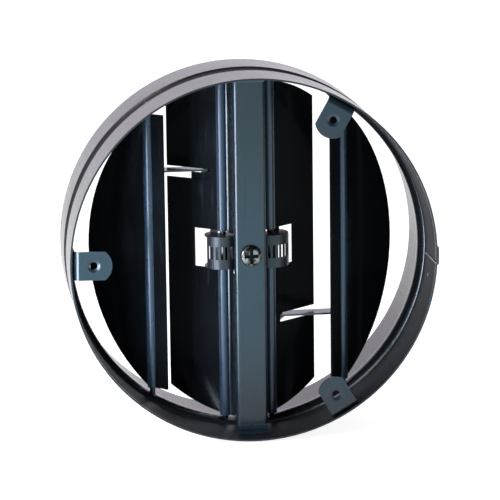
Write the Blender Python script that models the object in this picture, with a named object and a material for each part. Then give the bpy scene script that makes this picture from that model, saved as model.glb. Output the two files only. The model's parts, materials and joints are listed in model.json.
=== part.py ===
"""Round volume damper for the neck of a ceiling air diffuser.

Four blades swing together inside a rolled steel collar.  A screw in the middle of the
centre bar turns a worm; the worm drives a toothed sector on each inner blade, and a flat
link on each side carries the motion on to the outer blade.

Frame: the duct axis is Y and the front of the damper faces -Y, Z runs up along the centre
bar, X to the right.  The origin is the centre of the collar's front rim.  Every dimension
below is in millimetres; the meshes are scaled to metres when they are made.
"""

import math

import bmesh
import bpy
from mathutils import Matrix, Vector

MM = 0.001
FIT = 0.3                     # clearance between two pieces that touch

# Collar
COLLAR_R = 100.0              # outside radius of the rolled collar
SHEET = 1.0                   # collar and bar sheet
COLLAR_DEPTH = 76.0
COLLAR_SIDES = 120
BEAD_Y = 38.5                 # middle of the stiffening bead
BEAD_HALF = 7.5
BEAD_DEPTH = 3.0
LAP = (-3.1, 2.5)             # outer lap of the rolled seam, degrees up from +X
LAP_STEP = 0.8

# Mounting tabs, bent in from the front rim
TAB_NAMES = ("left", "upper", "lower")
TAB_ANGLES = (179.0, 60.5, -60.0)
TAB_WIDTH = 15.6
TAB_HOLE_R = 87.3             # distance of the hole from the duct axis
TAB_TIP_RADIUS = 9.75
TAB_SHOULDER_R = 81.2         # where the straight sides end
TAB_HOLE = 4.2
TAB_SEAT = 7.0                # mouth of the countersink
TAB_LEG_R = math.sqrt((COLLAR_R - SHEET) ** 2 - (TAB_WIDTH / 2) ** 2) - FIT
TAB_LEG_END = 12.5            # the leg's back end, along Y
TAB_BEND = 4.0                # outside radius of the bend

# Centre bar
BAR_WIDTH = 17.2
BAR_FACE_Y = 18.0
BAR_BACK_Y = 31.0
BAR_BEND = 2.0                # outside radius of the long bends
BAR_FOOT_Y = 9.5              # front end of the feet that lie on the collar
BAR_FOOT_BEND = 2.4           # inside radius between a foot and the bar's face
BAR_FOOT_R = COLLAR_R - SHEET - FIT
BAR_SLOT_HALF = 12.5          # openings in the side walls, for the sectors

# Blades
HINGE_Y = 36.0
INNER_X = 13.0
OUTER_X = 53.5
ROD_R = 1.6
ROD_SHORT = 1.0               # the rods end this far inside the collar's outside
BLADE_T = 0.8
BLADE_EDGE_R = 94.4           # the closed blades' common outline
INNER_RIDGE_R = 3.0           # outside radius of the pressed ridges over the rods
OUTER_RIDGE_R = 2.7
INNER_RIDGE_END = 93.9
OUTER_RIDGE_ENDS = (-76.0, 77.4)
RIDGE_IN = ROD_R + FIT
BLEND_R, BLEND_TURN = 5.0, 13.0     # soft pressed foot between ridge and lip
OPENING = 39.0                # degrees open at rest
INNER_EDGE = 36.0             # inner blade's outer edge, from its rod
INNER_LIP = 6.2
OUTER_LIP = 10.8
LIP_SET = 1.3                 # outer blade's lip stands this far in front of its sheet
LIP_HEM = 1.5
INNER_STRAPS = ((-69.5, -59.2), (13.9, 23.4), (59.6, 71.8))
OUTER_STRAPS = ((-55.6, -45.4), (44.2, 55.5))

# Worm drive
SECTOR_R = 10.6
SECTOR_WALL = 0.8
SECTOR_HALF = 9.0             # half height over the flanges
SECTOR_FROM, SECTOR_TO = 84.0, 302.0
SECTOR_FLANGE_TO = 378.0
TOOTH_STEP = 14.4             # degrees from tooth to tooth
TOOTH_SLOT = 8.6              # degrees of each slot
TOOTH_HALF = 3.6              # half height of the slots
SECTOR_WEB = (-8.9, 9.4)      # the web between the flanges, behind the rod
SECTOR_WEB_Y = 2.4
WINDOW = (-3.4, 18.5, 10.8)   # blade window: inner edge, outer edge, half height
LIP_WINDOW = (-7.0, -3.2, 9.6)      # and the same through its lip, lower
WORM_PITCH = math.radians(TOOTH_STEP) * (SECTOR_R - SECTOR_WALL / 2)
WORM_R = 3.05
WORM_CORE = 1.95
WORM_ROOT = 1.6               # the thread starts inside the core
WORM_ROOT_HALF, WORM_CREST_HALF = 0.58, 0.24
WORM_LENGTH = 14.0
# Turns the thread into step with the slots of the right-hand sector as it stands at rest.
WORM_START = 2 * math.pi * (180 - OPENING - SECTOR_FROM - TOOTH_STEP / 2) / TOOTH_STEP
SHAFT_R = 1.2
HEAD_R = 5.8
HEAD_H = 2.4
RECESS = (3.9, 4.3)           # half lengths of the recess, across and up
RECESS_HALF = 0.95
RECESS_DEPTH = 1.8
BRACKET_Y = 47.0
BRACKET_HALF = 14.5
BRACKET_WIDTH = 12.0
BRACKET_FOOT = 9.0

# Links between inner and outer blades
LINK_Z = {"right": -40.9, "left": 43.2}
PIVOT = (14.0, 7.2)           # pivot from the rod: along the blade, and behind it
LINK_HALF = 5.2
LINK_T = 1.0
PIN_R = 1.4
SLOT_END = 8.0                # the links' slots in the inner blades
SLOTS = {"right": (-43.6, -38.4), "left": (38.4, 44.4)}
EAR_FLANGE = (7.0, 20.5)      # the left ear's flange behind its blade, along the blade
EAR_FLANGE_Z = (37.4, 41.9)


# ---------------------------------------------------------------- mesh helpers

def clear_scene():
    for item in list(bpy.data.objects):
        bpy.data.objects.remove(item, do_unlink=True)


def steel(name, colour, roughness, metallic):
    finish = bpy.data.materials.new(name)
    finish.use_nodes = True
    shader = finish.node_tree.nodes["Principled BSDF"]
    shader.inputs["Base Color"].default_value = (*colour, 1.0)
    shader.inputs["Roughness"].default_value = roughness
    shader.inputs["Metallic"].default_value = metallic
    finish.diffuse_color = (*colour, 1.0)
    return finish


def make_object(name, bm, finish=None):
    """Turns a bmesh in millimetres into an object in metres, with its normals out."""
    bmesh.ops.recalc_face_normals(bm, faces=bm.faces)
    bmesh.ops.scale(bm, vec=(MM, MM, MM), verts=bm.verts)
    mesh = bpy.data.meshes.new(name)
    bm.to_mesh(mesh)
    bm.free()
    item = bpy.data.objects.new(name, mesh)
    bpy.context.scene.collection.objects.link(item)
    if finish:
        mesh.materials.append(finish)
    return item


def prism(outline, low, high, axis="Z"):
    """A flat outline pulled from low to high along an axis."""
    place = {"Z": lambda a, b, c: (a, b, c), "Y": lambda a, b, c: (a, c, b)}[axis]
    bm = bmesh.new()
    face = bm.faces.new([bm.verts.new(place(a, b, low)) for a, b in outline])
    pulled = bmesh.ops.extrude_face_region(bm, geom=[face])
    tops = [item for item in pulled["geom"] if isinstance(item, bmesh.types.BMVert)]
    bmesh.ops.translate(bm, vec=Vector(place(0.0, 0.0, high - low)), verts=tops)
    return bm


def across_x(outline, half):
    """An outline of (y, z) points pulled across X, the same way on both sides."""
    bm = bmesh.new()
    face = bm.faces.new([bm.verts.new((-half, y, z)) for y, z in outline])
    pulled = bmesh.ops.extrude_face_region(bm, geom=[face])
    moved = [item for item in pulled["geom"] if isinstance(item, bmesh.types.BMVert)]
    bmesh.ops.translate(bm, vec=(2 * half, 0, 0), verts=moved)
    return bm


def box(low, high):
    outline = [(low[0], low[1]), (high[0], low[1]), (high[0], high[1]), (low[0], high[1])]
    return prism(outline, low[2], high[2])


def arc(centre, radius, start, end, steps):
    """Points along an arc; the angles are in degrees."""
    points = []
    for step in range(steps + 1):
        angle = math.radians(start + (end - start) * step / steps)
        points.append((centre[0] + radius * math.cos(angle),
                       centre[1] + radius * math.sin(angle)))
    return points


def ring_sector(inner, outer, start, end, steps):
    return arc((0, 0), outer, start, end, steps) + arc((0, 0), inner, end, start, steps)


def turned(profile, sides):
    """A closed profile of (radius, y) points turned about Y, or a solid one from the axis."""
    bm = bmesh.new()
    rings = []
    for radius, y in profile:
        if radius < 1e-6:
            rings.append([bm.verts.new((0.0, y, 0.0))])
            continue
        ring = []
        for side in range(sides):
            angle = 2 * math.pi * side / sides
            ring.append(bm.verts.new((radius * math.cos(angle), y, radius * math.sin(angle))))
        rings.append(ring)
    pairs = list(zip(rings, rings[1:]))
    if len(rings[0]) > 1:
        pairs.append((rings[-1], rings[0]))
    for first, second in pairs:
        for side in range(sides):
            nxt = (side + 1) % sides
            corners = [first[side % len(first)], first[nxt % len(first)],
                       second[nxt % len(second)], second[side % len(second)]]
            bm.faces.new(list(dict.fromkeys(corners)))
    return bm


def cylinder(radius, low, high, sides, axis="Z", centre=(0.0, 0.0)):
    return prism(arc(centre, radius, 0, 360 - 360 / sides, sides - 1), low, high, axis)


def combine(target, tool_bm, operation):
    """Joins a tool to the target, or cuts it away, and drops the tool."""
    tool = make_object(target.name + "_tool", tool_bm)
    change = target.modifiers.new(operation.lower(), "BOOLEAN")
    change.operation = operation
    change.solver = "EXACT"
    change.object = tool
    bpy.context.view_layer.update()
    graph = bpy.context.evaluated_depsgraph_get()
    result = bpy.data.meshes.new_from_object(target.evaluated_get(graph))
    target.modifiers.clear()
    target.data = result
    bpy.data.objects.remove(tool, do_unlink=True)


def join(target, *tools):
    for tool in tools:
        combine(target, tool, "UNION")


def cut(target, *tools):
    for tool in tools:
        combine(target, tool, "DIFFERENCE")


def mirror_across_x(item):
    """Turns a right-hand piece into the left-hand one."""
    bm = bmesh.new()
    bm.from_mesh(item.data)
    bmesh.ops.scale(bm, vec=(-1, 1, 1), verts=bm.verts)
    bmesh.ops.reverse_faces(bm, faces=bm.faces)
    bm.to_mesh(item.data)
    bm.free()


def smooth(item, angle=35.0):
    item.data.shade_smooth()
    item.data.set_sharp_from_angle(angle=math.radians(angle))


def finish_object(item, finish, angle=35.0):
    item.data.materials.clear()
    item.data.materials.append(finish)
    smooth(item, angle)
    return item


def empty(name, location, turn=0.0, parent=None):
    item = bpy.data.objects.new(name, None)
    bpy.context.scene.collection.objects.link(item)
    item.location = Vector(location) * MM
    item.rotation_euler = (0.0, 0.0, math.radians(turn))
    item.parent = parent
    return item


# ---------------------------------------------------------------- collar

def bead_offset(y):
    """How far the bead pushes the sheet in at a depth y: steep at its sides."""
    across = (y - BEAD_Y) / BEAD_HALF
    if abs(across) >= 1:
        return 0.0
    return BEAD_DEPTH * (1 - abs(across) ** 2.2) ** 0.8


def collar_profile():
    """Sheet section: outside from back to front, then inside from front to back."""
    bead_points = [BEAD_Y - BEAD_HALF * math.cos(math.pi * step / 12) for step in range(13)]
    depths = [0.0] + bead_points + [COLLAR_DEPTH]
    outside = [(COLLAR_R - bead_offset(y), y) for y in reversed(depths)]
    inside = [(COLLAR_R - SHEET - bead_offset(y), y) for y in depths]
    return outside + inside


def make_collar(finish):
    collar = make_object("collar_ring", turned(collar_profile(), COLLAR_SIDES))
    lap_end = BEAD_Y - BEAD_HALF - 0.5
    middle = COLLAR_R - SHEET / 2
    join(collar, prism(ring_sector(middle, COLLAR_R + LAP_STEP, *LAP, 4), 0.0, lap_end, "Y"))
    reach = COLLAR_R + 10
    for x in (-OUTER_X, -INNER_X, INNER_X, OUTER_X):
        cut(collar, cylinder(ROD_R + FIT, -reach, reach, 12, "Z", (x, HINGE_Y)))
    return finish_object(collar, finish, 30)


# ---------------------------------------------------------------- mounting tabs

def tab_outline():
    """The flat of a tab's face: radius along the first axis, width along the second."""
    half = TAB_WIDTH / 2
    outer = TAB_LEG_R - TAB_BEND + 0.3
    turn = math.degrees(math.asin(half / TAB_TIP_RADIUS))
    centre = TAB_SHOULDER_R + math.sqrt(TAB_TIP_RADIUS ** 2 - half ** 2)
    tip = arc((centre, 0), TAB_TIP_RADIUS, 180 - turn, 180 + turn, 10)
    return [(outer, -half), (outer, half)] + tip


def tab_leg():
    """The section of a tab's bend and leg, seen along its width: depth, then radius."""
    centre = (TAB_BEND, TAB_LEG_R - TAB_BEND)
    outside = arc(centre, TAB_BEND, 180, 90, 6)
    inside = arc(centre, TAB_BEND - SHEET, 90, 180, 5)
    return outside + [(TAB_LEG_END, TAB_LEG_R), (TAB_LEG_END, TAB_LEG_R - SHEET)] + inside


def turned_outline(outline, degrees):
    angle = math.radians(degrees)
    return [(a * math.cos(angle) - b * math.sin(angle),
             a * math.sin(angle) + b * math.cos(angle)) for a, b in outline]


def screw_seat(degrees):
    """A conical screw seat through the tab."""
    angle = math.radians(degrees)
    middle = Vector((TAB_HOLE_R * math.cos(angle), 0.0, TAB_HOLE_R * math.sin(angle)))
    hole, seat = TAB_HOLE / 2, TAB_SEAT / 2
    cone = SHEET * 0.6
    flare = seat + (seat - hole) / cone
    bm = turned([(0, -1), (flare, -1), (hole, cone), (hole, 2), (0, 2)], 20)
    bmesh.ops.translate(bm, vec=middle, verts=bm.verts)
    return bm


def round_bend(item, front, radius, width):
    """Rounds the outside edge where a foot on the collar meets a flat face."""
    bm = bmesh.new()
    bm.from_mesh(item.data)
    edges = []
    for edge in bm.edges:
        ends = [vert.co / MM for vert in edge.verts]
        if all(abs(end.y - front) < 0.01 and abs(math.hypot(end.x, end.z) - radius) < 0.05
               for end in ends):
            edges.append(edge)
    bmesh.ops.bevel(bm, geom=edges, offset=width * MM, segments=3, profile=0.5,
                    affect="EDGES", clamp_overlap=True)
    bm.to_mesh(item.data)
    bm.free()


def make_tab(name, degrees, finish):
    """An angle bracket: its leg lies on the collar's inside, its face turns inwards."""
    tab = make_object(name, prism(turned_outline(tab_outline(), degrees), 0.0, SHEET, "Y"))
    leg = across_x(tab_leg(), TAB_WIDTH / 2)
    bmesh.ops.rotate(leg, cent=(0, 0, 0), verts=leg.verts,
                     matrix=Matrix.Rotation(math.radians(90 - degrees), 3, "Y"))
    join(tab, leg)
    cut(tab, screw_seat(degrees))
    return finish_object(tab, finish, 40)


# ---------------------------------------------------------------- centre bar

def channel_outline():
    """The bar's section, seen along Z: a channel open to the back."""
    half, inner = BAR_WIDTH / 2, BAR_WIDTH / 2 - SHEET
    bend, inside = BAR_BEND, BAR_BEND - SHEET
    front, back = BAR_FACE_Y, BAR_BACK_Y
    outer = [(half, back)]
    outer += arc((half - bend, front + bend), bend, 0, -90, 4)
    outer += arc((bend - half, front + bend), bend, -90, -180, 4)
    outer += [(-half, back), (-inner, back)]
    inner_side = arc((bend - half, front + bend), inside, 180, 270, 3)
    inner_side += arc((half - bend, front + bend), inside, -90, 0, 3)
    return outer + inner_side + [(inner, back)]


def foot_bend(up, half):
    """Fills the inside of the bend between the bar's face and one foot."""
    inside = BAR_FOOT_R - SHEET
    centre = (BAR_FACE_Y - BAR_FOOT_BEND, inside - BAR_FOOT_BEND)
    curve = arc(centre, BAR_FOOT_BEND, 90, 0, 6)
    corner = [(BAR_FACE_Y + 0.3, centre[1]), (BAR_FACE_Y + 0.3, inside + 0.3),
              (centre[0], inside + 0.3)]
    return across_x([(y, up * z) for y, z in curve + corner], half)


def make_bar(finish):
    reach = BAR_FOOT_R - SHEET + 0.2
    bar = make_object("centre_bar", prism(channel_outline(), -reach, reach))
    half = BAR_WIDTH / 2 - 0.2
    spread = math.degrees(math.asin(half / BAR_FOOT_R))
    for up in (1, -1):
        foot = ring_sector(BAR_FOOT_R - SHEET, BAR_FOOT_R, 90 * up - spread,
                           90 * up + spread, 6)
        join(bar, prism(foot, BAR_FOOT_Y, BAR_FACE_Y + SHEET, "Y"), foot_bend(up, half - 0.1))
    round_bend(bar, BAR_FACE_Y + SHEET, BAR_FOOT_R, 0.9)
    slot = BAR_SLOT_HALF
    cut(bar, box((-BAR_WIDTH, BAR_FACE_Y + 5, -slot), (BAR_WIDTH, BAR_BACK_Y + 5, slot)))
    cut(bar, cylinder(SHAFT_R + FIT, BAR_FACE_Y - 5, BAR_FACE_Y + 4, 18, "Y"))
    return finish_object(bar, finish, 25)


def make_bracket(finish):
    """A bridge behind the bar that carries the back end of the screw."""
    front = BAR_FACE_Y + SHEET + FIT
    back = BRACKET_Y + SHEET
    leg = BRACKET_HALF
    foot = leg + BRACKET_FOOT
    outline = [(front, foot), (front, leg - SHEET), (BRACKET_Y, leg - SHEET),
               (BRACKET_Y, SHEET - leg), (front, SHEET - leg), (front, -foot),
               (front + SHEET, -foot), (front + SHEET, -leg), (back, -leg), (back, leg),
               (front + SHEET, leg), (front + SHEET, foot)]
    bracket = make_object("worm_bracket", across_x(outline, BRACKET_WIDTH / 2))
    cut(bracket, cylinder(SHAFT_R + 1.1 + FIT, BRACKET_Y - 3, BRACKET_Y + 4, 18, "Y"))
    return finish_object(bracket, finish)


def make_bush(finish):
    """Flanged bush in the bracket's rear wall, where the screw's tail turns."""
    inner, outer = SHAFT_R + 0.1, SHAFT_R + 1.1
    back = BRACKET_Y + SHEET + FIT
    profile = [(inner, BRACKET_Y - 0.6), (outer, BRACKET_Y - 0.6), (outer, back),
               (outer + 1.4, back), (outer + 1.4, back + 0.8), (inner, back + 0.8)]
    return finish_object(make_object("screw_bush", turned(profile, 18)), finish)


# ---------------------------------------------------------------- screw and worm

def make_screw(finish):
    """Pan head with a cross recess, and a plain shaft."""
    head_back = BAR_FACE_Y - FIT
    head_front = head_back - HEAD_H
    end = BRACKET_Y + SHEET + 3.6
    profile = [(0, head_front), (HEAD_R * 0.72, head_front + 0.15),
               (HEAD_R * 0.93, head_front + 0.75), (HEAD_R, head_front + 1.5),
               (HEAD_R * 0.97, head_back), (SHAFT_R, head_back), (SHAFT_R, end - 0.5),
               (SHAFT_R - 0.5, end), (0, end)]
    screw = make_object("adjusting_screw", turned(profile, 28))
    deep = head_front + RECESS_DEPTH
    across, up = RECESS
    cut(screw, box((-across, head_front - 1, -RECESS_HALF), (across, deep, RECESS_HALF)))
    cut(screw, box((-RECESS_HALF, head_front - 1, -up), (RECESS_HALF, deep, up)))
    return finish_object(screw, finish)


def thread():
    """The worm's thread: a trapezium swept along a helix, fading out at both ends."""
    steps_per_turn = 20
    turns = (WORM_LENGTH - 1.6) / WORM_PITCH
    steps = int(turns * steps_per_turn)
    low = WORM_CORE - 0.15
    bm = bmesh.new()
    sections = []
    for step in range(steps + 1):
        angle = 2 * math.pi * step / steps_per_turn
        y = HINGE_Y - WORM_PITCH * (step - steps / 2) / steps_per_turn
        fade = min(1.0, step / 8, (steps - step) / 8)
        crest = low + (WORM_R - low) * fade
        corners = ((WORM_ROOT, -WORM_ROOT_HALF), (crest, -WORM_CREST_HALF),
                   (crest, WORM_CREST_HALF), (WORM_ROOT, WORM_ROOT_HALF))
        angle += WORM_START - math.pi * steps / steps_per_turn
        sections.append([bm.verts.new((radius * math.cos(angle), y + across,
                                       radius * math.sin(angle)))
                         for radius, across in corners])
    for first, second in zip(sections, sections[1:]):
        for corner in range(4):
            nxt = (corner + 1) % 4
            bm.faces.new((first[corner], first[nxt], second[nxt], second[corner]))
    bm.faces.new(sections[0])
    bm.faces.new(sections[-1])
    return bm


def make_worm(finish):
    low, high = HINGE_Y - WORM_LENGTH / 2, HINGE_Y + WORM_LENGTH / 2
    worm = make_object("worm", cylinder(WORM_CORE, low, high, 20, "Y"))
    join(worm, thread())
    cut(worm, cylinder(SHAFT_R + FIT, low - 2, high + 2, 16, "Y"))
    return finish_object(worm, finish, 50)


def make_clip(finish):
    """The retaining ring on the end of the screw, open on one side."""
    outline = ring_sector(SHAFT_R + FIT, SHAFT_R + 2.4, 40, 320, 14)
    low = BRACKET_Y + SHEET + 0.8 + 2 * FIT
    clip = make_object("retaining_ring", prism(outline, low, low + 0.9, "Y"))
    return finish_object(clip, finish)


# ---------------------------------------------------------------- blades

def ridge_outline(radius):
    """Half round over the front of the rod, with straight legs back to the sheet."""
    return ([(radius, BLADE_T)] + arc((0, 0), radius, 0, -180, 14) + [(-radius, BLADE_T)]
            + [(-RIDGE_IN, BLADE_T)] + arc((0, 0), RIDGE_IN, -180, 0, 8) + [(RIDGE_IN, BLADE_T)])


def blend_outline(radius):
    """The soft foot where the lip meets the ridge."""
    reach = BLEND_R * math.sin(math.radians(BLEND_TURN))
    centre = (-radius - reach, -BLEND_R)
    curve = arc(centre, BLEND_R, 90 - BLEND_TURN, 90, 4)
    return [(0.2 - radius, 0.3), (0.2 - radius, curve[0][1])] + curve + [(curve[-1][0], 0.3)]


def strap_outline(radius):
    """Half round behind the rod, where the sheet is lanced to hold it."""
    middle = (0, BLADE_T / 2)
    return arc(middle, radius, 0, 180, 8) + arc(middle, RIDGE_IN, 180, 0, 8)


def sheet_outline(hinge_x, start, end, steps):
    """Part of the closed disc between two distances from the rod, seen along Y."""
    top = []
    for step in range(steps + 1):
        along = start + (end - start) * step / steps
        across = hinge_x + along
        top.append((along, math.sqrt(max(BLADE_EDGE_R ** 2 - across ** 2, 0.0))))
    return top + [(along, -height) for along, height in reversed(top) if height > 0.01]


def outer_sheet_outline():
    """The outer blade's segment of the disc, by equal turns along its edge."""
    start = RIDGE_IN + 0.4
    corner = math.degrees(math.acos((OUTER_X + start) / BLADE_EDGE_R))
    return arc((-OUTER_X, 0), BLADE_EDGE_R, corner, -corner, 26)


def lanced_holes(blade, radius, straps):
    """Opens the ridge's foot and closes the back of the rod at each strap."""
    for low, high in straps:
        cut(blade, box((RIDGE_IN * 0.72, -1.5, low), (radius + 0.4, -0.02, high)))
        join(blade, prism(strap_outline(radius), low + 0.2, high - 0.2))


def ear_outline():
    """A flat ear behind the sheet, rounded about the link's pivot."""
    along, behind = PIVOT
    return ([(SLOT_END - 5.0, BLADE_T / 2), (SLOT_END - 0.2, BLADE_T / 2)]
            + arc((along, behind), 3.6, -55, 130, 8) + [(SLOT_END - 5.0, 3.0)])


def outer_ear_outline():
    along, behind = PIVOT
    return ([(along - 5.0, BLADE_T / 2), (along + 5.0, BLADE_T / 2)]
            + arc((along, behind), 3.6, -10, 190, 8))


def ear_levels(link_z):
    top = link_z - LINK_T / 2 - FIT
    return top - SHEET, top


def pin_hole():
    return cylinder(PIN_R + 0.25, -200, 200, 12, "Z", PIVOT)


def make_inner_blade(side, finish):
    height = INNER_RIDGE_END
    blade = make_object("inner_blade", prism(ridge_outline(INNER_RIDGE_R), -height, height))
    main = sheet_outline(INNER_X, RIDGE_IN + 0.4, INNER_EDGE, 10)
    lip = [(-INNER_LIP, height), (-RIDGE_IN - 0.4, height),
           (-RIDGE_IN - 0.4, -height), (-INNER_LIP, -height)]
    join(blade, prism(main, 0.0, BLADE_T, "Y"), prism(lip, 0.0, BLADE_T, "Y"),
         prism(blend_outline(INNER_RIDGE_R), 0.03 - height, height - 0.03))
    lanced_holes(blade, INNER_RIDGE_R, INNER_STRAPS)
    for near, far, half in (WINDOW, LIP_WINDOW):
        cut(blade, box((near, -5, -half), (far, 5, half)))
    low, high = SLOTS[side]
    cut(blade, box((SLOT_END, -5, low), (INNER_EDGE + 5, 5, high)))
    join(blade, prism(ear_outline(), *ear_levels(LINK_Z[side])))
    if side == "left":
        near, far = EAR_FLANGE
        low, high = EAR_FLANGE_Z
        join(blade, box((near, BLADE_T - 0.02, low), (far, BLADE_T + SHEET, high)))
    cut(blade, pin_hole())
    return finish_object(blade, finish, 30)


def make_outer_blade(side, finish):
    low, high = OUTER_RIDGE_ENDS
    blade = make_object("outer_blade", prism(ridge_outline(OUTER_RIDGE_R), low, high))
    lip_front = -LIP_SET
    lip = [(-OUTER_LIP, high), (-RIDGE_IN - 0.2, high),
           (-RIDGE_IN - 0.2, low), (-OUTER_LIP, low)]
    hem = [(-OUTER_LIP, high), (LIP_HEM - OUTER_LIP, high),
           (LIP_HEM - OUTER_LIP, low), (-OUTER_LIP, low)]
    join(blade, prism(outer_sheet_outline(), 0.0, BLADE_T, "Y"),
         prism(lip, lip_front, lip_front + BLADE_T, "Y"),
         prism(hem, lip_front - BLADE_T * 0.8, lip_front + BLADE_T / 2, "Y"))
    lanced_holes(blade, OUTER_RIDGE_R, OUTER_STRAPS)
    join(blade, prism(outer_ear_outline(), *ear_levels(LINK_Z[side])))
    cut(blade, pin_hole())
    return finish_object(blade, finish, 30)


# ---------------------------------------------------------------- sectors

def slotted_wall(start, end):
    """The toothed wall: a curved strip with a row of upright slots."""
    marks = [start]
    slot = start + (TOOTH_STEP - TOOTH_SLOT) / 2
    while slot + TOOTH_SLOT < end:
        marks += [slot, slot + TOOTH_SLOT]
        slot += TOOTH_STEP
    marks.append(end)
    levels = [-SECTOR_HALF, -TOOTH_HALF, TOOTH_HALF, SECTOR_HALF]
    inner = SECTOR_R - SECTOR_WALL
    bm = bmesh.new()
    points = {}
    for i, degrees in enumerate(marks):
        angle = math.radians(degrees)
        for j, z in enumerate(levels):
            for k, radius in enumerate((inner, SECTOR_R)):
                place = (radius * math.cos(angle), radius * math.sin(angle), z)
                points[i, j, k] = bm.verts.new(place)

    def solid(i, j):
        if not (0 <= i < len(marks) - 1 and 0 <= j < 3):
            return False
        return not (j == 1 and i % 2 == 1 and i < len(marks) - 2)

    def face(*keys):
        bm.faces.new([points[key] for key in keys])

    for i in range(len(marks) - 1):
        for j in range(3):
            if not solid(i, j):
                continue
            for k in (0, 1):
                face((i, j, k), (i + 1, j, k), (i + 1, j + 1, k), (i, j + 1, k))
            if not solid(i - 1, j):
                face((i, j, 0), (i, j, 1), (i, j + 1, 1), (i, j + 1, 0))
            if not solid(i + 1, j):
                face((i + 1, j, 0), (i + 1, j, 1), (i + 1, j + 1, 1), (i + 1, j + 1, 0))
            if not solid(i, j - 1):
                face((i, j, 0), (i, j, 1), (i + 1, j, 1), (i + 1, j, 0))
            if not solid(i, j + 1):
                face((i, j + 1, 0), (i, j + 1, 1), (i + 1, j + 1, 1), (i + 1, j + 1, 0))
    return bm


def make_sector(shift, finish):
    """A stamped sector; the shift turns its wall and flanges about the rod.

    A web behind the rod joins the two flanges, and their feet are welded behind the blade.
    """
    start = SECTOR_FROM + shift
    sector = make_object("toothed_sector", slotted_wall(start, SECTOR_TO + shift))
    flange = ring_sector(ROD_R + 0.5, SECTOR_R - SECTOR_WALL / 2, start,
                         SECTOR_FLANGE_TO, 24)
    behind = BLADE_T + 0.4
    near, far = SECTOR_WEB
    web_half = SECTOR_HALF - SECTOR_WALL / 2
    web = box((near, SECTOR_WEB_Y, -web_half), (far, SECTOR_WEB_Y + SECTOR_WALL, web_half))
    join(sector, web)
    for up in (1, -1):
        levels = sorted((up * (SECTOR_HALF - SECTOR_WALL), up * (SECTOR_HALF - 0.01)))
        join(sector, prism(flange, *levels))
        low, high = sorted((up * (SECTOR_HALF - 0.6), up * (SECTOR_HALF + 7.0)))
        join(sector, box((4.5, behind, low), (9.0, behind + SECTOR_WALL, high)))
    return finish_object(sector, finish, 30)


# ---------------------------------------------------------------- rods, links, pins

def make_rod(hinge_x, finish):
    reach = math.sqrt(COLLAR_R ** 2 - hinge_x ** 2) - ROD_SHORT
    profile = [(0, -reach), (ROD_R - 0.4, -reach), (ROD_R, 0.4 - reach),
               (ROD_R, reach - 0.4), (ROD_R - 0.4, reach), (0, reach)]
    rod = make_object("hinge_rod", turned(profile, 14))
    rod.data.transform(Matrix.Rotation(math.radians(90), 4, "X"))
    return finish_object(rod, finish)


def make_link(finish):
    """Flat strip with a pivot hole at each end, lying along X; origin on the outer pivot."""
    span = OUTER_X - INNER_X
    outline = arc((0, 0), LINK_HALF, -90, 90, 8) + arc((-span, 0), LINK_HALF, 90, 270, 8)
    link = make_object("link", prism(outline, -LINK_T / 2, LINK_T / 2))
    for x in (0.0, -span):
        cut(link, cylinder(PIN_R + 0.35, -3, 3, 12, "Z", (x, 0.0)))
    return finish_object(link, finish)


def make_pin(finish):
    """Rivet through an ear and a link; origin at the middle of the link."""
    top = LINK_T / 2 + FIT
    bottom = -LINK_T / 2 - FIT - SHEET - FIT
    profile = [(0, bottom - 0.8), (2.3, bottom - 0.6), (2.5, bottom), (PIN_R, bottom),
               (PIN_R, top), (2.6, top), (2.4, top + 0.6), (0, top + 0.9)]
    pin = make_object("pin", turned(profile, 14))
    pin.data.transform(Matrix.Rotation(math.radians(90), 4, "X"))
    return finish_object(pin, finish)


# ---------------------------------------------------------------- assembly

def place(item, name, parent, side, location=(0.0, 0.0, 0.0)):
    """Names a piece, mirrors it for the left side and hangs it on its pivot."""
    item.name = name
    item.data.name = name
    if side == "left":
        mirror_across_x(item)
        location = (-location[0], location[1], location[2])
    item.parent = parent
    item.location = Vector(location) * MM


def make_side(side, paint):
    sign = 1 if side == "right" else -1
    turn = sign * OPENING
    inner = empty("inner_pivot_" + side, (sign * INNER_X, HINGE_Y, 0), turn)
    outer = empty("outer_pivot_" + side, (sign * OUTER_X, HINGE_Y, 0), turn)
    place(make_inner_blade(side, paint), "inner_blade_" + side, inner, side)
    place(make_outer_blade(side, paint), "outer_blade_" + side, outer, side)
    # The two sectors meet opposite sides of the thread, half a pitch apart.
    shift = 0.0 if side == "right" else -TOOTH_STEP / 2
    place(make_sector(shift, paint), "toothed_sector_" + side, inner, side)
    for name, hinge_x in (("inner", INNER_X), ("outer", OUTER_X)):
        rod = make_rod(hinge_x, paint)
        place(rod, name + "_hinge_rod_" + side, None, side, (hinge_x, HINGE_Y, 0))
    joint = (*PIVOT, LINK_Z[side])
    place(make_pin(paint), "link_pin_inner_" + side, inner, side, joint)
    place(make_pin(paint), "link_pin_outer_" + side, outer, side, joint)
    swing = empty("link_pivot_" + side, (sign * PIVOT[0], PIVOT[1], LINK_Z[side]), -turn, outer)
    place(make_link(paint), "link_" + side, swing, side)


def main():
    clear_scene()
    paint = steel("black_enamel", (0.018, 0.022, 0.026), 0.22, 0.0)
    slate = steel("slate_enamel", (0.055, 0.085, 0.10), 0.3, 0.0)
    zinc = steel("zinc_plate", (0.55, 0.55, 0.53), 0.3, 1.0)
    brass = steel("brass_bush", (0.62, 0.47, 0.20), 0.3, 1.0)
    make_collar(paint)
    for name, degrees in zip(TAB_NAMES, TAB_ANGLES):
        make_tab("tab_" + name, degrees, slate)
    make_bar(slate)
    make_bracket(paint)
    make_bush(brass)
    make_screw(zinc)
    make_worm(zinc)
    make_clip(zinc)
    for side in ("right", "left"):
        make_side(side, paint)


main()
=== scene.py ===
"""Looks for the round volume damper: enamel, plating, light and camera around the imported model."""

import json
import math

import bpy
from mathutils import Matrix, Vector

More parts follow.
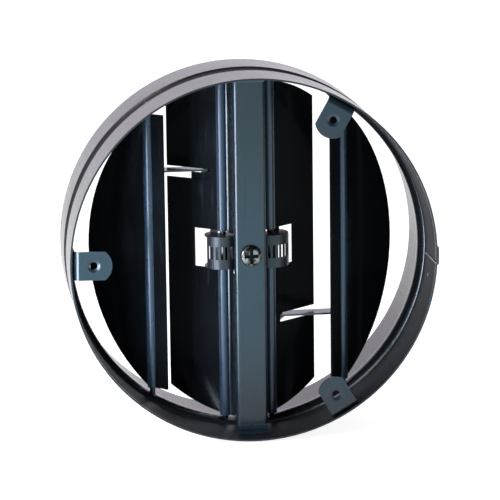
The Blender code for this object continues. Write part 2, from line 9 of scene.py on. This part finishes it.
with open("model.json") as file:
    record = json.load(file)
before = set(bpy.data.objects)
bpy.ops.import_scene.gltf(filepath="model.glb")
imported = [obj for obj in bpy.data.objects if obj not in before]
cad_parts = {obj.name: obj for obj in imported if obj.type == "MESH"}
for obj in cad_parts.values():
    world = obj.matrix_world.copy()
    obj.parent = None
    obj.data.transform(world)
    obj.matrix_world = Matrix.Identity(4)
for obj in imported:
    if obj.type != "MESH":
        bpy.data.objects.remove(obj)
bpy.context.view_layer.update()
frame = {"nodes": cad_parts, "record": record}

MM = 0.001

# Places on the damper, in millimetres. A pair is where a mask starts and ends its change.
INNER_HINGE, OUTER_HINGE, HINGE_Y = 13.0, 53.5, 36.0     # the rods
RIDGE_EDGE = (3.2, 3.5)                                  # around a rod, the ridge's foot
COLLAR_WALL = (99.2, 99.6)                               # from the axis
COLLAR_RIM = (1.0, 2.0)                                  # along the axis
COLLAR_BEAD = (29.0, 31.0)
SEAM_BEAD = (27.0, 29.0)
SEAM_RIGHT = (90.0, 91.0)                                # to the right of the axis
SEAM_WALL = (99.3, 99.6)
SEAM_WIDTH = (0.25, 0.50)                                # either side of the line
SEAM_GROOVE_Z, SEAM_EDGE_Z = -3.6, -4.5
RECESS_FRONT = (15.6, 15.8)                              # along the axis
RECESS_BACK = (17.4, 17.6)
RECESS_WALL = (4.6, 4.8)                                 # from the axis
WELD_DIMPLES = ((97.8, 17.0, -14.6, 1.4),)               # x, y, z, radius; beside the seam
MARK_CORE = 0.6                                          # of its radius, a mark's flat part

EDGE_WIDTH = 0.18
EDGE_ANGLE = 40.0                                        # degrees


# ---------------------------------------------------------------- node helpers

def node_material(name):
    made = bpy.data.materials.new(name)
    made.use_nodes = True
    tree = made.node_tree
    return made, tree, tree.nodes["Principled BSDF"]


def feed(tree, socket, value):
    """Sets a socket to a plain number, or links another socket to it."""
    if isinstance(value, bpy.types.NodeSocket):
        tree.links.new(value, socket)
    else:
        socket.default_value = value


def calc(tree, operation, first, second=0.0, third=0.0):
    made = tree.nodes.new("ShaderNodeMath")
    made.operation = operation
    for socket, value in zip(made.inputs, (first, second, third)):
        feed(tree, socket, value)
    return made.outputs[0]


def length(tree, first, second):
    """How far from zero a point with these two coordinates is."""
    return calc(tree, "SQRT", calc(tree, "ADD", calc(tree, "POWER", first, 2.0),
                                   calc(tree, "POWER", second, 2.0)))


def place(tree):
    """Where the shaded point lies on the piece, in millimetres."""
    where = tree.nodes.new("ShaderNodeTexCoord")
    scale = tree.nodes.new("ShaderNodeVectorMath")
    scale.operation = "SCALE"
    scale.inputs["Scale"].default_value = 1 / MM
    tree.links.new(where.outputs["Object"], scale.inputs[0])
    return scale.outputs[0]


def axes(tree, vector):
    split = tree.nodes.new("ShaderNodeSeparateXYZ")
    tree.links.new(vector, split.inputs[0])
    return split.outputs


def noise(tree, size, detail, stretch=(1.0, 1.0, 1.0)):
    """Noise with features of about a size in millimetres, pulled out along an axis."""
    squeeze = tree.nodes.new("ShaderNodeMapping")
    squeeze.inputs["Scale"].default_value = [1 / (size * pull) for pull in stretch]
    made = tree.nodes.new("ShaderNodeTexNoise")
    made.inputs["Scale"].default_value = 1.0
    made.inputs["Detail"].default_value = detail
    tree.links.new(place(tree), squeeze.inputs["Vector"])
    tree.links.new(squeeze.outputs["Vector"], made.inputs["Vector"])
    return made.outputs["Fac"]


def spread(tree, source, edge, low, high):
    """Maps a source smoothly on to low before an edge and high past it."""
    start, end = edge
    made = tree.nodes.new("ShaderNodeMapRange")
    made.interpolation_type = "SMOOTHSTEP"
    for name, value in (("From Min", start), ("From Max", end),
                        ("To Min", low), ("To Max", high)):
        made.inputs[name].default_value = value
    tree.links.new(source, made.inputs["Value"])
    return made.outputs["Result"]


def rise(tree, source, edge):
    """0 before an edge, 1 past it."""
    return spread(tree, source, edge, low=0.0, high=1.0)


def fall(tree, source, edge):
    """1 before an edge, 0 past it."""
    return spread(tree, source, edge, low=1.0, high=0.0)


def blend(tree, factor, first, second):
    made = tree.nodes.new("ShaderNodeMix")
    made.data_type = "RGBA"
    feed(tree, made.inputs["Factor"], factor)
    colours = [socket for socket in made.inputs if socket.type == "RGBA"]
    for socket, value in zip(colours, (first, second)):
        feed(tree, socket, value if isinstance(value, bpy.types.NodeSocket) else (*value, 1.0))
    return [socket for socket in made.outputs if socket.type == "RGBA"][0]


def bump(tree, height, depth, strength, below=None):
    """A normal from a height, whose depth is in millimetres, on top of another normal."""
    made = tree.nodes.new("ShaderNodeBump")
    made.inputs["Strength"].default_value = strength
    made.inputs["Distance"].default_value = depth * MM
    tree.links.new(height, made.inputs["Height"])
    if below:
        tree.links.new(below, made.inputs["Normal"])
    return made.outputs["Normal"]


def sink(tree, mask, depth, strength, below):
    """A normal that dips where a mask is 1."""
    return bump(tree, calc(tree, "SUBTRACT", 1.0, mask), depth, strength, below)


def round_marks(tree, marks):
    """Small round marks: 1 inside each (x, y, z, radius), 0 away from them."""
    here = place(tree)
    total = 0.0
    for x, y, z, radius in marks:
        gap = tree.nodes.new("ShaderNodeVectorMath")
        gap.operation = "DISTANCE"
        gap.inputs[1].default_value = (x, y, z)
        tree.links.new(here, gap.inputs[0])
        total = calc(tree, "MAXIMUM", total,
                     fall(tree, gap.outputs["Value"], (radius * MARK_CORE, radius)))
    return total


# ---------------------------------------------------------------- masks

def ridge_mask(tree):
    """1 over the pressed ridges of the blades, where the colour carries a painted reflection and the
    paint is rougher.
    """
    x, y, _ = axes(tree, place(tree))
    across = calc(tree, "ABSOLUTE", x)
    total = 0.0
    for hinge in (INNER_HINGE, OUTER_HINGE):
        side = calc(tree, "SUBTRACT", across, hinge)
        front = calc(tree, "SUBTRACT", y, HINGE_Y)
        away = length(tree, side, front)
        total = calc(tree, "MAXIMUM", total, fall(tree, away, RIDGE_EDGE))
    return total


def collar_mask(tree):
    """1 on the inside of the collar in front of its bead, where the paint is dull."""
    x, y, z = axes(tree, place(tree))
    away = length(tree, x, z)
    inside = calc(tree, "MULTIPLY", fall(tree, away, COLLAR_WALL), rise(tree, y, COLLAR_RIM))
    return calc(tree, "MULTIPLY", inside, fall(tree, y, COLLAR_BEAD))


def seam_line(tree, height):
    """1 along a line across the inside of the collar, in front of its bead, at the seam."""
    x, y, z = axes(tree, place(tree))
    away = calc(tree, "ABSOLUTE", calc(tree, "SUBTRACT", z, height))
    inside = calc(tree, "MULTIPLY", rise(tree, x, SEAM_RIGHT), fall(tree, x, SEAM_WALL))
    line = calc(tree, "MULTIPLY", fall(tree, away, SEAM_WIDTH), inside)
    return calc(tree, "MULTIPLY", line, fall(tree, y, SEAM_BEAD))


def recess_shade_mask(tree):
    """1 inside the cross recess of the screw's head, where painted shade darkens the colour."""
    x, y, z = axes(tree, place(tree))
    away = length(tree, x, z)
    deep = calc(tree, "MULTIPLY", rise(tree, y, RECESS_FRONT), fall(tree, y, RECESS_BACK))
    return calc(tree, "MULTIPLY", deep, fall(tree, away, RECESS_WALL))


# ---------------------------------------------------------------- materials

BLACK = (0.0025, 0.0030, 0.0036)
# Black enamel lightened and tinted blue for the bar and tabs: a painted reflection of the light in
# front.
SLATE_PAINTED_REFLECTION = (0.004, 0.009, 0.012)
# Painted reflection on the blades' ridges: lighter and bluer than the enamel.
RIDGE_PAINTED_REFLECTION = (0.012, 0.022, 0.036)
GROOVE = (0.001, 0.001, 0.001)
# Painted highlight: a glint in the weld dimples and a line along the seam's lap edge.
PAINTED_HIGHLIGHT = (0.16, 0.16, 0.17)
DUST = (0.10, 0.10, 0.11)
# Painted shade in the screw head's cross recess.
PAINTED_RECESS_SHADE = (0.006, 0.006, 0.006)
ENAMEL_IOR = 1.45
CLOUD_LIGHTER = 1.35                                     # the light clouds over the base colour
MARK_COVER = 0.8
SEAM_DULLING = 0.5

# Where in a noise, which runs from 0 to 1, each kind of wear starts and is full.
CLOUDS, SHINE_CLOUDS = (0.35, 0.65), (0.3, 0.7)
SPECKS, RUBS = (0.74, 0.78), (0.56, 0.72)
PATCHES, SHINE_PATCHES = (0.40, 0.60), (0.3, 0.7)


def enamel(name, base, roughness, mask=None, second=None, marks=(), seam=False, dull=None,
           dulling=0.25):
    """Baked enamel: slow cloudiness, orange peel, rub marks and specks of dust.

    A mask brings in the second colour, and another makes the paint duller by an amount.
    """
    made, tree, shader = node_material(name)
    clouds = noise(tree, size=30.0, detail=3.0)
    colour = blend(tree, rise(tree, clouds, CLOUDS),
                   base, [value * CLOUD_LIGHTER for value in base])
    if mask:
        colour = blend(tree, mask(tree), colour, second)
    specks = spread(tree, noise(tree, size=0.5, detail=2.0), SPECKS, low=0.0, high=0.35)
    colour = blend(tree, specks, colour, DUST)
    rubs = noise(tree, size=2.2, detail=3.0, stretch=(1.0, 1.0, 9.0))
    shine = calc(tree, "ADD",
                 spread(tree, clouds, SHINE_CLOUDS, low=roughness * 0.85, high=roughness * 1.15),
                 spread(tree, rubs, RUBS, low=0.0, high=0.10))
    if dull:
        shine = calc(tree, "MULTIPLY_ADD", dull(tree), dulling, shine)
    normal = bump(tree, noise(tree, size=1.1, detail=2.0), depth=0.03, strength=0.10)
    if marks:
        pits = round_marks(tree, marks)
        # Painted highlight in each weld dimple.
        colour = blend(tree, calc(tree, "MULTIPLY", pits, MARK_COVER), colour, PAINTED_HIGHLIGHT)
        normal = sink(tree, pits, depth=0.5, strength=0.8, below=normal)
    if seam:
        # At the seam: a dark groove line, and a painted highlight along the lap's edge.
        for height, colour_there in ((SEAM_GROOVE_Z, GROOVE), (SEAM_EDGE_Z, PAINTED_HIGHLIGHT)):
            line = seam_line(tree, height)
            colour = blend(tree, line, colour, colour_there)
            shine = calc(tree, "MULTIPLY_ADD", line, SEAM_DULLING, shine)
            normal = sink(tree, line, depth=0.3, strength=0.9, below=normal)
    feed(tree, shader.inputs["Base Color"], colour)
    feed(tree, shader.inputs["Roughness"], shine)
    feed(tree, shader.inputs["Normal"], normal)
    shader.inputs["IOR"].default_value = ENAMEL_IOR
    return made


def plated(name, dark, light, roughness):
    """Plated or turned metal: uneven passivation, dents and fine scratches."""
    made, tree, shader = node_material(name)
    patches = noise(tree, size=3.0, detail=3.0)
    scratches = noise(tree, size=0.4, detail=2.0, stretch=(6.0, 1.0, 1.0))
    colour = blend(tree, rise(tree, patches, PATCHES), dark, light)
    # The screw head's cross recess is darkened with painted shade.
    feed(tree, shader.inputs["Base Color"], blend(tree, recess_shade_mask(tree), colour, PAINTED_RECESS_SHADE))
    feed(tree, shader.inputs["Roughness"],
         spread(tree, patches, SHINE_PATCHES, low=roughness * 0.8, high=roughness * 1.3))
    dents = bump(tree, noise(tree, size=2.4, detail=1.0), depth=0.5, strength=0.5)
    feed(tree, shader.inputs["Normal"],
         bump(tree, scratches, depth=0.05, strength=0.25, below=dents))
    shader.inputs["Metallic"].default_value = 1.0
    return made


FINISH = {
    "collar": enamel("collar_enamel", BLACK, roughness=0.20, marks=WELD_DIMPLES, seam=True,
                     dull=collar_mask),
    # The blades' ridges carry a painted reflection in their colour.
    "blade": enamel("blade_enamel", BLACK, roughness=0.13, mask=ridge_mask, second=RIDGE_PAINTED_REFLECTION,
                    dull=ridge_mask, dulling=0.15),
    # Bar and tabs: black enamel with a painted reflection of the light in front in its colour.
    "slate_enamel": enamel("slate_painted_reflection_enamel", SLATE_PAINTED_REFLECTION, roughness=0.26),
    "sector": enamel("sector_enamel", BLACK, roughness=0.40),
    "black_enamel": enamel("black_enamel_finish", BLACK, roughness=0.20),
    "zinc_plate": plated("zinc_plate_finish", dark=(0.02, 0.017, 0.015),
                         light=(0.20, 0.17, 0.15), roughness=0.16),
    "brass_bush": plated("brass_finish", dark=(0.5, 0.36, 0.15),
                         light=(0.66, 0.5, 0.22), roughness=0.3),
}


def finish_for(entry):
    if entry["node"] == "collar_ring":
        return FINISH["collar"]
    if "sector" in entry["node"]:
        return FINISH["sector"]
    if "blade" in entry["node"]:
        return FINISH["blade"]
    return FINISH[entry["material_slot"]]


for entry in frame["record"]["subparts"]:
    item = frame["nodes"][entry["node"]]
    item.data.materials.clear()
    item.data.materials.append(finish_for(entry))


# ---------------------------------------------------------------- edges

for item in frame["nodes"].values():
    soft = item.modifiers.new("soft_edges", "BEVEL")
    soft.width = EDGE_WIDTH * MM
    soft.segments = 2
    soft.limit_method = "ANGLE"
    soft.angle_limit = math.radians(EDGE_ANGLE)
    even = item.modifiers.new("even_normals", "WEIGHTED_NORMAL")
    even.weight = 90
    even.keep_sharp = True


# ---------------------------------------------------------------- stage and light

# In metres and, around the damper, degrees from its front.
FLOOR_Z = -0.1012
FLOOR_HALF = 6.0
FLOOR_GLOW = 0.86
ROOM_DARK = (0.03, 0.03, 0.04)
ROOM_BRIGHT = (1.11, 1.06, 1.18)
ROOM_BEHIND, ROOM_ABOVE, ROOM_LEFT = (-0.3, 0.5), (0.3, 0.9), (-0.9, 0.1)    # of a direction
ABOVE_SHARE, LEFT_SHARE = 0.2, 0.7                       # of the light behind
KEY_PLACE = (-0.8, -0.5, 1.1)
CARD_X, CARD_Y = 0.06, -0.50
BOX_LIFT, CARD_LIFT = 0.002, 0.003                       # clear of the floor


def area_light(name, location, towards, size, radiance, colour):
    """A rectangular softbox of a given radiance, not seen directly."""
    data = bpy.data.lights.new(name, "AREA")
    data.shape = "RECTANGLE"
    data.size, data.size_y = size
    data.energy = radiance * math.pi * size[0] * size[1]
    data.color = colour
    lamp = bpy.data.objects.new(name, data)
    bpy.context.scene.collection.objects.link(lamp)
    lamp.location = location
    back = (Vector(location) - Vector(towards)).normalized()
    lamp.rotation_euler = back.to_track_quat("Z", "Y").to_euler()
    lamp.visible_camera = False


def low_box(name, around, distance, width, height, radiance, colour):
    """A softbox standing on the floor beside the damper and facing it."""
    turn = math.radians(around)
    x, y = distance * math.sin(turn), -distance * math.cos(turn)
    z = FLOOR_Z + height / 2 + BOX_LIFT
    area_light(name, (x, y, z), (0, 0, z), (width, height), radiance, colour)


def make_floor():
    mesh = bpy.data.meshes.new("studio_floor")
    half = FLOOR_HALF
    mesh.from_pydata([(-half, -half, FLOOR_Z), (half, -half, FLOOR_Z), (half, half, FLOOR_Z),
                      (-half, half, FLOOR_Z)], [], [(0, 1, 2, 3)])
    floor = bpy.data.objects.new("studio_floor", mesh)
    bpy.context.scene.collection.objects.link(floor)
    made, _, shader = node_material("pale_floor")
    shader.inputs["Base Color"].default_value = (0.5, 0.5, 0.5, 1)
    shader.inputs["Roughness"].default_value = 0.9
    shader.inputs["Specular IOR Level"].default_value = 0.0
    shader.inputs["Emission Color"].default_value = (1.0, 1.0, 1.0, 1.0)
    shader.inputs["Emission Strength"].default_value = FLOOR_GLOW
    mesh.materials.append(made)


def make_world():
    """Lilac-white room: bright behind, less so on the left, faint above and dark elsewhere."""
    world = bpy.data.worlds.new("studio")
    bpy.context.scene.world = world
    world.use_nodes = True
    tree = world.node_tree
    where = tree.nodes.new("ShaderNodeTexCoord")
    x, y, z = axes(tree, where.outputs["Generated"])
    behind = rise(tree, y, ROOM_BEHIND)
    above = spread(tree, z, ROOM_ABOVE, low=0.0, high=ABOVE_SHARE)
    left = spread(tree, x, ROOM_LEFT, low=LEFT_SHARE, high=0.0)
    light = calc(tree, "MAXIMUM", calc(tree, "MAXIMUM", behind, above), left)
    shade = tree.nodes["Background"]
    feed(tree, shade.inputs["Color"], blend(tree, light, ROOM_DARK, ROOM_BRIGHT))
    shade.inputs["Strength"].default_value = 1.0


make_floor()
make_world()
area_light("key", KEY_PLACE, towards=(0, 0, 0), size=(0.8, 0.8), radiance=5.0,
           colour=(1.0, 0.98, 1.0))
low_box("left_box", around=-57.0, distance=0.27, width=0.09, height=0.24, radiance=34.0,
        colour=(0.66, 0.80, 1.0))
low_box("right_box", around=48.0, distance=0.30, width=0.10, height=0.20, radiance=1.4,
        colour=(0.80, 0.90, 1.0))
area_light("front_card", (CARD_X, CARD_Y, FLOOR_Z + CARD_LIFT), towards=(CARD_X, CARD_Y, 1.0),
           size=(0.75, 0.72), radiance=1.75, colour=(0.16, 0.76, 1.0))


# ---------------------------------------------------------------- camera

# Fitted to the photograph: angles in degrees, places in metres, focal length in pixels.
CAMERA_AROUND, CAMERA_ABOVE, CAMERA_ROLL = -7.81, 12.31, -0.72
CAMERA_DISTANCE = 1.4805
CAMERA_TARGET = (-0.00293, 0.0, 0.00698)
FOCAL_PX, IMAGE_PX = 2748.0, 500.0
SENSOR_MM = 36.0


def make_camera():
    """The photograph's view: a long lens a little to the left and above."""
    around, above, roll = (math.radians(CAMERA_AROUND), math.radians(CAMERA_ABOVE),
                           math.radians(CAMERA_ROLL))
    back = Vector((math.sin(around) * math.cos(above), -math.cos(around) * math.cos(above),
                   math.sin(above)))
    eye = CAMERA_DISTANCE * back
    forward = (Vector(CAMERA_TARGET) - eye).normalized()
    right = forward.cross(Vector((0, 0, 1))).normalized()
    up = right.cross(forward)
    right, up = (right * math.cos(roll) + up * math.sin(roll),
                 up * math.cos(roll) - right * math.sin(roll))
    data = bpy.data.cameras.new("photo_view")
    data.sensor_width = SENSOR_MM
    data.lens = FOCAL_PX / IMAGE_PX * SENSOR_MM
    data.clip_end = 50.0
    camera = bpy.data.objects.new("photo_view", data)
    bpy.context.scene.collection.objects.link(camera)
    turn = Matrix((right, up, -forward)).transposed().to_4x4()
    camera.matrix_world = Matrix.Translation(eye) @ turn
    bpy.context.scene.camera = camera


make_camera()
bpy.context.scene.view_settings.view_transform = "Standard"
